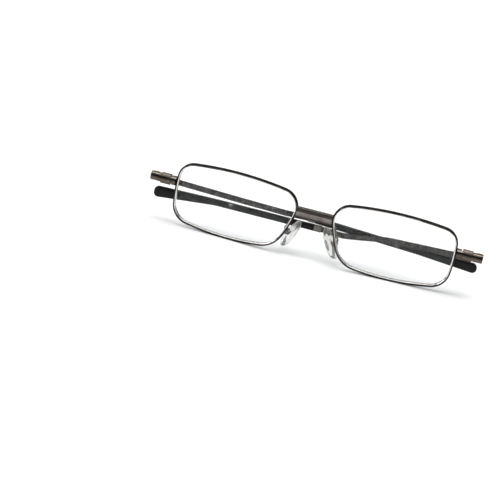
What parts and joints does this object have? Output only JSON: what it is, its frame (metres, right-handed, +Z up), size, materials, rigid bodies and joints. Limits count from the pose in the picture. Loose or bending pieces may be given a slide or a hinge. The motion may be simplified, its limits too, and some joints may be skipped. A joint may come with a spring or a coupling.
{
  "type": "folding reading glasses",
  "caption": "Slim full-rim metal reading glasses with folding temples, plastic sleeves and rocking clear nose pads.",
  "frame": {"origin": "bottom centre of the folded glasses' box, under the bridge", "axes": "+X towards the wearer's left, +Y back towards the wearer, +Z up"},
  "size_m": [0.1338, 0.0124, 0.0276],
  "materials": {
    "rim_metal": "dark gunmetal, polished",
    "bridge_metal": "gunmetal, satin",
    "end_metal": "warm gunmetal, satin",
    "temple_metal": "dark gunmetal, satin",
    "ferrule_metal": "bright, polished",
    "fine_metal": "grey, satin",
    "screw_metal": "grey, polished",
    "tip_black": "semi-gloss black",
    "pad_clear": "clear, glossy",
    "lens_clear": "clear, coated"
  },
  "bodies": {
    "front": {"bridge": "bridge_metal", "left_eyewire": "rim_metal", "left_lens": "lens_clear", "left_closing_screw": "screw_metal", "left_pad_arm": "fine_metal", "left_pad_screw": "screw_metal", "left_end_block_upper": "end_metal", "left_end_block_lower": "end_metal", "left_hinge_screw": "screw_metal", "right_eyewire": "rim_metal", "right_lens": "lens_clear", "right_closing_screw": "screw_metal", "right_pad_arm": "fine_metal", "right_pad_screw": "screw_metal", "right_end_block_upper": "end_metal", "right_end_block_lower": "end_metal", "right_hinge_screw": "screw_metal"},
    "left_temple": {"left_temple_bar": "temple_metal", "left_temple_ferrule": "ferrule_metal", "left_temple_tip": "tip_black"},
    "right_temple": {"right_temple_bar": "temple_metal", "right_temple_ferrule": "ferrule_metal", "right_temple_tip": "tip_black"},
    "left_pad": {"left_nose_pad": "pad_clear"},
    "right_pad": {"right_nose_pad": "pad_clear"}
  },
  "joints": [
    {"name": "right_temple_fold", "type": "hinge", "parent": "front", "child": "right_temple", "pos_m": [-0.0654, 0.00119, 0.01703], "axis": [0, 0.0558, 0.9984], "range_deg": [0, 90]},
    {"name": "left_temple_fold", "type": "hinge", "parent": "front", "child": "left_temple", "pos_m": [0.0654, 0.00119, 0.01703], "axis": [0, -0.0837, -0.9965], "range_deg": [0, 90]},
    {"name": "right_pad_rock", "type": "hinge", "parent": "front", "child": "right_pad", "pos_m": [-0.00938, -0.00001, 0.00844], "axis": [-0.3229, 0.8095, 0.4904], "range_deg": [-6, 6]},
    {"name": "left_pad_rock", "type": "hinge", "parent": "front", "child": "left_pad", "pos_m": [0.00938, -0.00001, 0.00844], "axis": [0.3229, 0.8095, 0.4904], "range_deg": [-6, 6]}
  ],
  "couplings": [
    {"joint": "left_temple_fold", "follows": "right_temple_fold", "ratio": 1}
  ]
}
